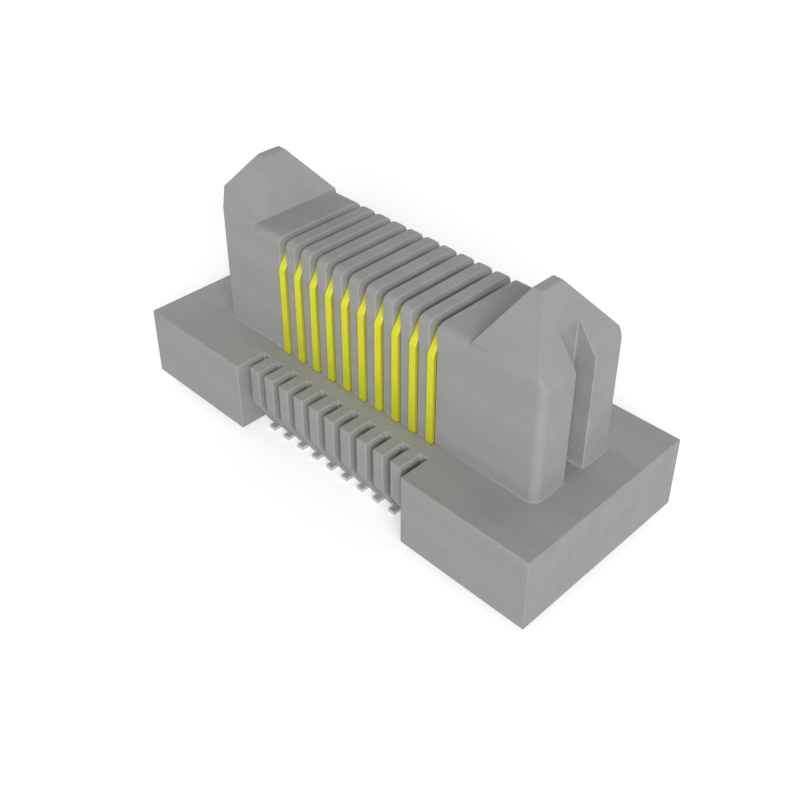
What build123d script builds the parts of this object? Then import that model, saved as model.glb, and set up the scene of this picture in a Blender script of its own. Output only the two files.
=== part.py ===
from build123d import *
import os

# Board-to-board connector, 0.8 mm pitch, two rows of ten surface-mount contacts.
# The origin is on the board, under the middle of the connector. The rows run
# along X, and the solder feet of the contacts stand on Z = 0.

# Contact field
pitch = 0.8
contacts_per_row = 10

# Base of the housing
board_gap = 0.29
base_length = 18.87
base_width = 7.91
base_height = 2.85

# Comb of fins along the two long sides of the base
comb_setback = 0.32
comb_slot_width = 0.33
comb_slot_depth = 0.96
fin_face_height = 1.56
fin_sole_depth = 0.23

# Tongue that carries the contacts
tongue_width = 3.92
tongue_height = 4.72
tongue_edge_radius = 0.32

# Guide posts at the two ends of the tongue
post_spacing = 10.23
post_length = 2.89
post_height = 6.5
post_shoulder_height = 4.35
post_crown_length = 0.36
post_crown_width = 0.95
post_crown_inset = 1.04
post_corner_radius = 0.32
post_corner_chamfer = 1.12
key_slot_width = 0.96
key_slot_depth = 0.8

# Contact, stamped from flat strip and bent twice
contact_width = 0.28
contact_thickness = 0.15
contact_stand = 0.1
contact_knee_height = 3.52
contact_tip_height = 4.36
contact_tip_lean = 0.48
contact_bend_radius = 0.1
foot_reach = 3.02
stem_width = 0.34
barb_width = 0.4
barb_height = 0.3
barb_count = 3
stem_shoulder_height = 1.9

# Room around each contact
side_clearance = 0.025
tip_clearance = 0.05
top_groove_depth = 0.5

# Heights that the pieces share
base_top = board_gap + base_height
tongue_top = base_top + tongue_height
crown_top = base_top + post_height
stem_shoulder = board_gap + stem_shoulder_height
knee_level = base_top + contact_knee_height
tip_level = base_top + contact_tip_height

# Distances outward from the middle plane between the rows
tongue_wall = tongue_width / 2
base_side = base_width / 2
fin_face = base_side - comb_setback
slot_end = fin_face - comb_slot_depth
contact_face = tongue_wall + contact_stand
contact_back = contact_face - contact_thickness
groove_floor = contact_back - contact_tip_lean - tip_clearance

# Lengths along the rows
comb_length = contacts_per_row * pitch + comb_slot_width
post_inner_end = post_spacing / 2
post_outer_end = post_inner_end + post_length
crown_inner_end = post_inner_end + post_crown_inset
crown_outer_end = crown_inner_end + post_crown_length
groove_width = contact_width + 2 * side_clearance


# Housing, moulded in one piece. The two guide posts come first: their side
# outline is extruded across the tongue, then cut by the roof and plan outlines.
with BuildPart() as housing:
    with BuildSketch(Plane.XZ) as post_sides:
        with BuildLine():
            Polyline(
                (post_inner_end, board_gap),
                (post_outer_end, board_gap),
                (post_outer_end, base_top + post_shoulder_height),
                (crown_outer_end, crown_top),
                (crown_inner_end, crown_top),
                (post_inner_end, tongue_top),
                close=True,
            )
        make_face()
        mirror(about=Plane.YZ)
    extrude(amount=tongue_wall, both=True)

    with BuildSketch(Plane.YZ) as post_roof:
        with BuildLine():
            Polyline(
                (-tongue_wall, board_gap),
                (tongue_wall, board_gap),
                (tongue_wall, tongue_top),
                (post_crown_width / 2, crown_top),
                (-post_crown_width / 2, crown_top),
                (-tongue_wall, tongue_top),
                close=True,
            )
        make_face()
    extrude(amount=post_outer_end, both=True, mode=Mode.INTERSECT)

    # The right post has rounded corners and the left one has corners cut at
    # 45 degrees, so the mating half goes on one way round only.
    with BuildSketch(Plane.XY.offset(board_gap)) as post_plan:
        Rectangle(2 * post_outer_end, tongue_width)
        fillet(post_plan.vertices().group_by(Axis.X)[-1], radius=post_corner_radius)
        chamfer(post_plan.vertices().group_by(Axis.X)[0], length=post_corner_chamfer)
    extrude(amount=base_height + post_height, mode=Mode.INTERSECT)

    with BuildSketch(Plane.XY.offset(base_top)) as key_slot:
        with Locations((post_outer_end, 0)):
            Rectangle(key_slot_depth, key_slot_width, align=(Align.MAX, Align.CENTER))
    extrude(amount=post_height, mode=Mode.SUBTRACT)

    # Tongue between the posts, rounded along its two top edges
    with BuildSketch(Plane.YZ) as tongue_section:
        with Locations((0, board_gap)):
            Rectangle(tongue_width, base_height + tongue_height, align=(Align.CENTER, Align.MIN))
        fillet(tongue_section.vertices().group_by(Axis.Y)[-1], radius=tongue_edge_radius)
    extrude(amount=post_inner_end, both=True)

    # Base, with two full end blocks and a shallow recess between them on each side
    with BuildSketch(Plane.XY.offset(board_gap)) as base_plan:
        Rectangle(base_length, base_width)
        with Locations((0, base_side), (0, -base_side)):
            Rectangle(comb_length, 2 * comb_setback, mode=Mode.SUBTRACT)
    extrude(amount=base_height)

    # Slots that turn the sides of the base into combs, one fin at each contact
    with BuildSketch(Plane.XY.offset(board_gap)) as comb_slots:
        for side in (1, -1):
            with Locations((0, side * (slot_end + base_side) / 2)):
                with GridLocations(pitch, 0, contacts_per_row + 1, 1):
                    Rectangle(comb_slot_width, base_side - slot_end)
    extrude(amount=base_height, mode=Mode.SUBTRACT)

    # The fins slope back below their front face, which leaves the feet in view
    with BuildSketch(Plane.YZ) as fin_slopes:
        with BuildLine():
            Polyline(
                (fin_face, base_top - fin_face_height),
                (base_side, base_top - fin_face_height),
                (base_side, board_gap),
                (slot_end + fin_sole_depth, board_gap),
                close=True,
            )
        make_face()
        mirror(about=Plane.YZ)
    extrude(amount=comb_length / 2, both=True, mode=Mode.SUBTRACT)

    # Grooves for the contacts, from the underside up both walls of the tongue
    with BuildSketch(Plane.XY.offset(board_gap)) as side_grooves:
        for side in (1, -1):
            with Locations((0, side * (groove_floor + contact_face + side_clearance) / 2)):
                with GridLocations(pitch, 0, contacts_per_row, 1):
                    Rectangle(groove_width, contact_face + side_clearance - groove_floor)
    extrude(amount=base_height + tongue_height, mode=Mode.SUBTRACT)

    # The same grooves run on across the top of the tongue
    with BuildSketch(Plane.XY.offset(tongue_top)) as top_grooves:
        with GridLocations(pitch, 0, contacts_per_row, 1):
            Rectangle(groove_width, tongue_width)
    extrude(amount=-top_groove_depth, mode=Mode.SUBTRACT)

    # Wider slots in the base that grip the barbs, ending where the stems stop
    with BuildSketch(Plane.XY.offset(board_gap)) as stem_slots:
        for side in (1, -1):
            with Locations((0, side * (contact_face + contact_back) / 2)):
                with GridLocations(pitch, 0, contacts_per_row, 1):
                    Rectangle(barb_width, contact_thickness + 2 * side_clearance)
    extrude(amount=stem_shoulder_height, mode=Mode.SUBTRACT)

housing.part.label = "housing"


# Contact, cut from strip as the front outline shows and bent as the side outline
# shows: solder foot, barbed stem in the base, blade on the tongue and tucked tip.
def make_contact(x, side, label):
    outward = Plane(origin=(x, 0, 0), x_dir=(0, side, 0), z_dir=(side, 0, 0))
    tip_slope = Vector(-contact_tip_lean, contact_tip_height - contact_knee_height).normalized()
    tip_end = Vector(contact_face - contact_tip_lean, tip_level)
    tip_back = tip_end + Vector(-tip_slope.Y, tip_slope.X) * contact_thickness
    back_knee = knee_level - contact_thickness * (1 - tip_slope.Y) / -tip_slope.X

    with BuildPart() as contact:
        with BuildSketch(outward) as side_outline:
            with BuildLine():
                Polyline(
                    (foot_reach, 0),
                    (contact_back, 0),
                    (contact_back, back_knee),
                    (tip_back.X, tip_back.Y),
                    (tip_end.X, tip_end.Y),
                    (contact_face, knee_level),
                    (contact_face, contact_thickness),
                    (foot_reach, contact_thickness),
                    close=True,
                )
            make_face()
            heel = side_outline.vertices().sort_by_distance((contact_back, 0))[0]
            fillet(heel, radius=contact_bend_radius + contact_thickness)
            instep = side_outline.vertices().sort_by_distance((contact_face, contact_thickness))[0]
            fillet(instep, radius=contact_bend_radius)
        extrude(amount=barb_width / 2, both=True)

        with BuildSketch(Plane.XZ.shift_origin((x, 0, 0))) as front_outline:
            with BuildLine():
                stem_bottom = stem_shoulder - barb_count * barb_height
                outline = [(0, 0), (contact_width / 2, 0), (contact_width / 2, stem_bottom)]
                for step in range(barb_count):
                    barb_bottom = stem_bottom + step * barb_height
                    outline.append((barb_width / 2, barb_bottom))
                    outline.append((stem_width / 2, barb_bottom + barb_height))
                outline.append((contact_width / 2, stem_shoulder))
                outline.append((contact_width / 2, tongue_top))
                outline.append((0, tongue_top))
                Polyline(*outline, close=True)
            make_face()
            mirror(about=Plane.YZ)
        extrude(amount=foot_reach, both=True, mode=Mode.INTERSECT)

    contact.part.label = label
    return contact.part


os.makedirs("parts", exist_ok=True)
export_step(housing.part, "parts/housing.step")

for row, side in (("front", -1), ("rear", 1)):
    for number in range(contacts_per_row):
        contact_x = (number - (contacts_per_row - 1) / 2) * pitch
        name = f"contact_{row}_{number + 1:02d}"
        contact_piece = make_contact(contact_x, side, name)
        export_step(contact_piece, f"parts/{name}.step")
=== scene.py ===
import math
import bmesh
import bpy
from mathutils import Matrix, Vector


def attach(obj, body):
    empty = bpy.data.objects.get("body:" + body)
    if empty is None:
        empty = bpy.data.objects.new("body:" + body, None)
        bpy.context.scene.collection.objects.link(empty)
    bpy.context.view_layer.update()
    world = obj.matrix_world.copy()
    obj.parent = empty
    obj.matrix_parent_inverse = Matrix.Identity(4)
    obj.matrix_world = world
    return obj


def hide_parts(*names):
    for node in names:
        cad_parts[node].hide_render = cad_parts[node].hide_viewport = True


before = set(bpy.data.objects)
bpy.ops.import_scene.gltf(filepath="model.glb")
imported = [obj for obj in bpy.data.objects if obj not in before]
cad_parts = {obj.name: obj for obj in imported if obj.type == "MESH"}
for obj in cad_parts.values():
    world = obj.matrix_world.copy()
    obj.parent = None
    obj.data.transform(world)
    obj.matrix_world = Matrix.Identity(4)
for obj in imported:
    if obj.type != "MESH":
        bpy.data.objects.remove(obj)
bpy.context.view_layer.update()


# Camera. It looks down on the front row from the keyed end, half way round the
# corner. The photograph is cut off-centre, so the lens is shifted to match.
MM = 0.001
VIEW_TURN = 45
VIEW_TILT = 34.58
VIEW_DISTANCE = 38.52 * MM
VIEW_AIM = Vector((0, 0, 4.824)) * MM
LENS_LENGTH = 49.23
LENS_SHIFT_X = 0.0056
LENS_SHIFT_Y = -0.0860
SENSOR_WIDTH = 36
NEAREST_SEEN = 1 * MM
FARTHEST_SEEN = 10


def outward(turn, tilt):
    """The way out from the connector, turned from its front and tilted up, both in degrees."""
    turn, tilt = math.radians(turn), math.radians(tilt)
    return Vector((math.sin(turn) * math.cos(tilt), -math.cos(turn) * math.cos(tilt), math.sin(tilt)))


towards_camera = outward(VIEW_TURN, VIEW_TILT)
camera_data = bpy.data.cameras.new("camera")
camera_data.lens = LENS_LENGTH
camera_data.sensor_width = SENSOR_WIDTH
camera_data.shift_x = LENS_SHIFT_X
camera_data.shift_y = LENS_SHIFT_Y
camera_data.clip_start = NEAREST_SEEN
camera_data.clip_end = FARTHEST_SEEN
camera = bpy.data.objects.new("camera", camera_data)
camera.location = VIEW_AIM + towards_camera * VIEW_DISTANCE
camera.rotation_euler = (-towards_camera).to_track_quat("-Z", "Y").to_euler()
bpy.context.scene.collection.objects.link(camera)
bpy.context.scene.camera = camera


# Housing. One moulding of glass-filled liquid crystal polymer, mid grey and dull.
# The steel of the mould was spark-eroded, which leaves a fine even grain, and
# the melt leaves faint streaks along its flow. The edges have a small radius.
class Pattern:
    """A number that changes over a surface, with arithmetic that adds Math nodes."""

    def __init__(self, surface, socket):
        self.surface = surface
        self.socket = socket

    def _math(self, operation, *values):
        return self.surface.node("ShaderNodeMath", {"operation": operation}, dict(enumerate(values)))

    def __add__(self, other):
        return self._math("ADD", self, other)

    def __radd__(self, other):
        return self._math("ADD", other, self)

    def __sub__(self, other):
        return self._math("SUBTRACT", self, other)

    def __rsub__(self, other):
        return self._math("SUBTRACT", other, self)

    def __mul__(self, other):
        return self._math("MULTIPLY", self, other)

    def __rmul__(self, other):
        return self._math("MULTIPLY", other, self)

    def __abs__(self):
        return self._math("ABSOLUTE", self)


class Surface:
    """A material or world whose shader sockets take plain values or patterns."""

    def __init__(self, owner, shader):
        owner.use_nodes = True
        self.owner = owner
        self.tree = owner.node_tree
        self.shader = self.tree.nodes[shader]

    def node(self, kind, settings=None, sockets=None, output=0):
        made = self.tree.nodes.new(kind)
        for name, value in (settings or {}).items():
            setattr(made, name, value)
        self.feed(made, sockets or {})
        return Pattern(self, made.outputs[output])

    def feed(self, made, sockets):
        for name, value in sockets.items():
            if isinstance(value, Pattern):
                self.tree.links.new(value.socket, made.inputs[name])
            else:
                made.inputs[name].default_value = value

    def place(self, along_x=1, along_y=1, along_z=1):
        """Position on the piece in millimetres, scaled along each axis."""
        position = self.node("ShaderNodeTexCoord", output="Object")
        scale = (along_x / MM, along_y / MM, along_z / MM)
        return self.node("ShaderNodeVectorMath", {"operation": "MULTIPLY"}, {0: position, 1: scale})

    def noise(self, place, per_mm, detail=2.0, roughness=0.5):
        return self.node(
            "ShaderNodeTexNoise", {},
            {"Vector": place, "Scale": per_mm, "Detail": detail, "Roughness": roughness},
            output="Fac",
        )

    def spread(self, value, low, high, new_low=0.0, new_high=1.0):
        """Carries the range low to high over to another range, and holds it there."""
        return self.node(
            "ShaderNodeMapRange", {"interpolation_type": "SMOOTHSTEP"},
            {"Value": value, "From Min": low, "From Max": high, "To Min": new_low, "To Max": new_high},
        )

    def blend(self, share, first, second):
        return self.node(
            "ShaderNodeMix", {"data_type": "RGBA"}, {"Factor": share, "A": first, "B": second}, output=2
        )

    def relief(self, height, depth):
        return self.node("ShaderNodeBump", {}, {"Height": height, "Distance": depth, "Strength": 1.0})


FACET_SEAM = 0.002 * MM
FLAT_TURN = math.radians(1)
SHARP_TURN = math.radians(25)
LEAST_STEP_IN_RADII = 0.75
LEAST_WIDTH_IN_RADII = 2.5
ROUNDING_STEPS = 2
ROUNDING_SEAM = 0.001 * MM


def thin_out(shape, least_step):
    """Merges the corners along a curve that are closer than a step, and keeps its ends."""
    ends = [vert for vert in shape.verts if sum(not edge.smooth for edge in vert.link_edges) > 2]
    beside_ends = bmesh.ops.find_doubles(shape, verts=shape.verts, keep_verts=ends, dist=least_step)
    bmesh.ops.weld_verts(shape, targetmap=beside_ends["targetmap"])
    others = [vert for vert in shape.verts if vert not in ends]
    bmesh.ops.remove_doubles(shape, verts=others, dist=least_step)


def is_sliver(face, least_width):
    """True for a narrow face with sharp edges all round, which has no room for a radius."""
    width = 2 * face.calc_area() / face.calc_perimeter()
    return width < least_width and not any(edge.smooth for edge in face.edges)


def dressed(node, name, material, radius):
    """A copy of a solid that stands for it, with its sharp edges rounded and a material."""
    shape = bmesh.new()
    shape.from_mesh(node.data)
    bmesh.ops.remove_doubles(shape, verts=shape.verts, dist=FACET_SEAM)
    bmesh.ops.dissolve_limit(shape, angle_limit=FLAT_TURN, verts=shape.verts, edges=shape.edges)
    for edge in shape.edges:
        edge.smooth = edge.calc_face_angle(0) < SHARP_TURN
    thin_out(shape, LEAST_STEP_IN_RADII * radius)
    least_width = LEAST_WIDTH_IN_RADII * radius
    weight = shape.edges.layers.float.new("bevel_weight_edge")
    for edge in shape.edges:
        edge[weight] = not edge.smooth and not any(is_sliver(face, least_width) for face in edge.link_faces)
    for face in shape.faces:
        face.smooth = True
    mesh = bpy.data.meshes.new(name)
    shape.to_mesh(mesh)
    shape.free()
    mesh.materials.append(material)
    piece = bpy.data.objects.new(name, mesh)
    bpy.context.scene.collection.objects.link(piece)
    rounding = piece.modifiers.new("rounded edges", "BEVEL")
    rounding.width = radius
    rounding.segments = ROUNDING_STEPS
    rounding.limit_method = "WEIGHT"
    rounding.use_clamp_overlap = False
    closing = piece.modifiers.new("closed corners", "WELD")
    closing.merge_threshold = ROUNDING_SEAM
    shading = piece.modifiers.new("flat faces", "WEIGHTED_NORMAL")
    shading.keep_sharp = True
    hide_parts(node.name)
    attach(piece, "root")
    return piece


HOUSING_GREY = (0.325, 0.325, 0.320, 1)
HOUSING_GREY_PALE = (0.350, 0.350, 0.345, 1)
HOUSING_GREY_DEEP = (0.300, 0.300, 0.295, 1)
HOUSING_ROUGHNESS = 0.54
HOUSING_SHEEN = 0.2
HOUSING_EDGE_RADIUS = 0.04 * MM
FLOW_PER_MM = 0.9
FLOW_STRETCH = (0.25, 1.2, 1.2)
FIBRE_PER_MM = 6.0
FIBRE_STRETCH = (0.35, 1.6, 1.6)
MOULD_GRAIN_PER_MM = 11.0
MOULD_GRAIN_DEPTH = 0.0016 * MM

moulded = Surface(bpy.data.materials.new("moulded_grey"), "Principled BSDF")
flow = moulded.noise(moulded.place(*FLOW_STRETCH), FLOW_PER_MM, detail=3.0)
fibre = moulded.noise(moulded.place(*FIBRE_STRETCH), FIBRE_PER_MM, roughness=0.6)
grain = moulded.noise(moulded.place(), MOULD_GRAIN_PER_MM, detail=3.0, roughness=0.65)
grey = moulded.blend(moulded.spread(flow, low=0.3, high=0.7), HOUSING_GREY_DEEP, HOUSING_GREY)
pale_fibre = moulded.spread(fibre, low=0.58, high=0.74, new_high=0.45)
moulded.feed(moulded.shader, {
    "Base Color": moulded.blend(pale_fibre, grey, HOUSING_GREY_PALE),
    "Roughness": HOUSING_ROUGHNESS + 0.16 * grain + 0.05 * flow,
    "Normal": moulded.relief(grain + 0.25 * fibre, MOULD_GRAIN_DEPTH),
    "Specular IOR Level": HOUSING_SHEEN,
    "IOR": 1.5,
})

housing = dressed(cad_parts["housing"], "moulded_housing", moulded.owner, HOUSING_EDGE_RADIUS)


# Contacts. Twenty strips stamped from rolled copper alloy, bent at the foot and
# at the tip and pushed up into the housing. The blades are gold plated, and the
# stems and solder feet below the plating line have matte tin.
PLATING_LINE = 1.1 * MM
PLATING_BLUR = 0.12 * MM
PLATING_WANDER = 0.3 * MM
GOLD = (0.700, 0.690, 0.032, 1)
GOLD_DEEP = (0.640, 0.625, 0.028, 1)
# A darker gold, painted shade for the strip's side faces that face along X.
GOLD_SIDE_SHADE = (0.520, 0.515, 0.034, 1)
TIN = (0.600, 0.600, 0.590, 1)
TIN_DULL = (0.520, 0.520, 0.510, 1)
PLATING_ROUGHNESS = 0.40
PLATING_METAL = 0.4
PLATING_SHEEN = 0.2
CONTACT_EDGE_RADIUS = 0.015 * MM
CLOUD_PER_MM = 1.6
ROLL_LINES_PER_MM = 14.0
ROLL_LINE_STRETCH = (1.0, 1.0, 0.06)
ROLL_LINE_DEPTH = 0.0012 * MM

plated = Surface(bpy.data.materials.new("plated_strip"), "Principled BSDF")
height = plated.node("ShaderNodeSeparateXYZ", {}, {
    "Vector": plated.node("ShaderNodeTexCoord", output="Object"),
}, output="Z")
facing = plated.node("ShaderNodeSeparateXYZ", {}, {
    "Vector": plated.node("ShaderNodeTexCoord", output="Normal"),
}, output="X")
# Painted shade: faces that point along X get the darker gold. The same mask also makes those cut sides
# rougher.
side_shade_and_shear = plated.spread(abs(facing), low=0.6, high=0.9)
roll_lines = plated.noise(plated.place(*ROLL_LINE_STRETCH), ROLL_LINES_PER_MM)
cloud = plated.noise(plated.place(), CLOUD_PER_MM, detail=3.0)
is_gold = plated.spread(height + cloud * PLATING_WANDER, PLATING_LINE, PLATING_LINE + PLATING_BLUR)
gold = plated.blend(plated.spread(cloud, low=0.35, high=0.7, new_high=0.5), GOLD, GOLD_DEEP)
gold = plated.blend(side_shade_and_shear * 0.8, gold, GOLD_SIDE_SHADE)
tin = plated.blend(plated.spread(cloud, low=0.4, high=0.65), TIN, TIN_DULL)
plated.feed(plated.shader, {
    "Base Color": plated.blend(is_gold, tin, gold),
    "Metallic": PLATING_METAL,
    "Specular IOR Level": PLATING_SHEEN,
    "Roughness": PLATING_ROUGHNESS + 0.10 * roll_lines + 0.10 * side_shade_and_shear + 0.10 * (1 - is_gold),
    "Normal": plated.relief(roll_lines, ROLL_LINE_DEPTH),
})

for name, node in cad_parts.items():
    if name.startswith("contact_"):
        strip = dressed(node, name.replace("contact", "strip"), plated.owner, CONTACT_EDGE_RADIUS)


# Floor and light. A white table with the connector standing on its feet. One soft
# box hangs before it, just below the camera, two low ones light its back and its
# left end, and the room adds an even light of its own.
TABLE_HALF_WIDTH = 0.15
TABLE_WHITE = (0.85, 0.85, 0.85, 1)
TABLE_ROUGHNESS = 0.9
TABLE_GLOW = 0.40
WHITE_LIGHT = (1, 1, 1, 1)
ROOM_LIGHT = 0.20
LAMP_DISTANCE = 0.25

half = TABLE_HALF_WIDTH
table_corners = [(-half, -half, 0), (half, -half, 0), (half, half, 0), (-half, half, 0)]
floor_mesh = bpy.data.meshes.new("floor")
floor_mesh.from_pydata(table_corners, [], [(0, 1, 2, 3)])
floor = bpy.data.objects.new("floor", floor_mesh)
bpy.context.scene.collection.objects.link(floor)


def seen_directly(surface):
    """One where the camera sees the surface, straight, mirrored or through glass."""
    straight = surface.node("ShaderNodeLightPath", output="Is Camera Ray")
    mirrored = surface.node("ShaderNodeLightPath", output="Is Glossy Ray")
    through = surface.node("ShaderNodeLightPath", output="Is Transmission Ray")
    either = surface.node("ShaderNodeMath", {"operation": "MAXIMUM"}, {0: straight, 1: mirrored})
    return surface.node("ShaderNodeMath", {"operation": "MAXIMUM"}, {0: either, 1: through})


table = Surface(bpy.data.materials.new("white_table"), "Principled BSDF")
table.feed(table.shader, {
    "Base Color": TABLE_WHITE,
    "Roughness": TABLE_ROUGHNESS,
    "Specular IOR Level": 0.0,
    "Emission Color": WHITE_LIGHT,
    "Emission Strength": TABLE_GLOW * seen_directly(table),
})
floor_mesh.materials.append(table.owner)

room = Surface(bpy.data.worlds.new("room"), "Background")
room.feed(room.shader, {
    "Color": WHITE_LIGHT,
    "Strength": ROOM_LIGHT + (1 - ROOM_LIGHT) * seen_directly(room),
})
bpy.context.scene.world = room.owner


def add_lamp(name, turn, tilt, width, height, watts):
    """A soft box that faces the connector from a turn and a tilt in degrees."""
    lamp_data = bpy.data.lights.new(name, "AREA")
    lamp_data.shape = "RECTANGLE"
    lamp_data.size = width
    lamp_data.size_y = height
    lamp_data.energy = watts
    lamp = bpy.data.objects.new(name, lamp_data)
    lamp.location = outward(turn, tilt) * LAMP_DISTANCE
    lamp.rotation_euler = outward(turn, tilt).to_track_quat("Z", "Y").to_euler()
    lamp.visible_camera = False
    bpy.context.scene.collection.objects.link(lamp)


add_lamp("lamp_front", turn=48, tilt=28, width=0.17, height=0.08, watts=0.57)
add_lamp("lamp_back", turn=180, tilt=13, width=0.24, height=0.10, watts=0.36)
add_lamp("lamp_left", turn=270, tilt=13, width=0.24, height=0.10, watts=0.36)

bpy.context.scene.view_settings.view_transform = "Standard"
